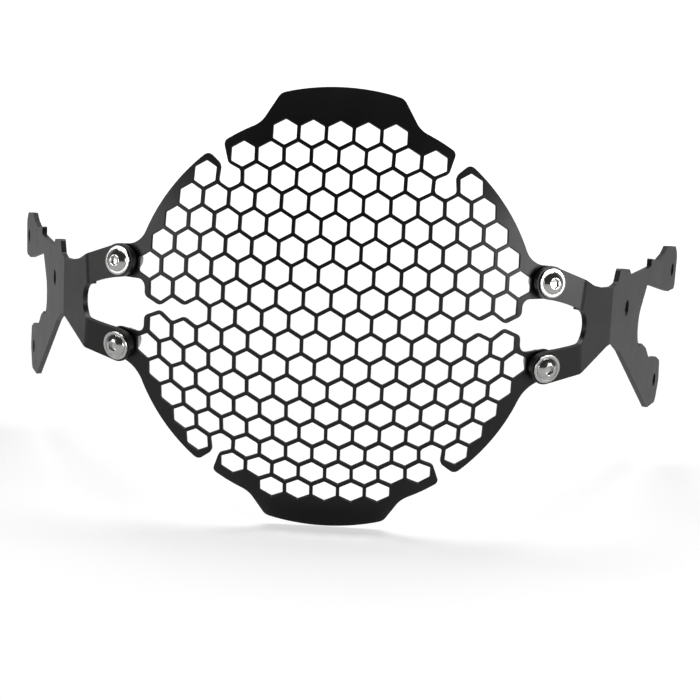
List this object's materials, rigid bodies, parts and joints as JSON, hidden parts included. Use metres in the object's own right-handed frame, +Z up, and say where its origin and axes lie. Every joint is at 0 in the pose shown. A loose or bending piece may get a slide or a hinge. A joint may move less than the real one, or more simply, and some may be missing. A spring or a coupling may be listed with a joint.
{
  "type": "motorcycle headlight guard",
  "caption": "Domed hexagon-mesh headlight guard with slit petals, bolted at its ears to two folded side brackets that fix it to a motorcycle's fork.",
  "frame": {"origin": "midway between the upper rear holes of the two side plates, on their outer faces' height and depth", "axes": "+X to the rider's left, +Y to the rear of the motorcycle, so the dome faces -Y, and +Z up"},
  "size_m": [0.3542, 0.2074, 0.2072],
  "materials": {
    "mesh": "satin black powder coat",
    "bracket": "satin black powder coat",
    "bolt": "bright turned stainless steel",
    "rubber": "matt black rubber",
    "washer": "plain stainless steel",
    "nut": "plain stainless steel"
  },
  "bodies": {
    "root": {"mesh_guard": "mesh", "left_bracket": "bracket", "right_bracket": "bracket", "bolt_upper_left": "bolt", "bolt_upper_right": "bolt", "bolt_lower_left": "bolt", "bolt_lower_right": "bolt", "spacer_upper_left": "rubber", "spacer_upper_right": "rubber", "spacer_lower_left": "rubber", "spacer_lower_right": "rubber", "washer_upper_left": "washer", "washer_upper_right": "washer", "washer_lower_left": "washer", "washer_lower_right": "washer", "nut_upper_left": "nut", "nut_upper_right": "nut", "nut_lower_left": "nut", "nut_lower_right": "nut"}
  },
  "joints": []
}
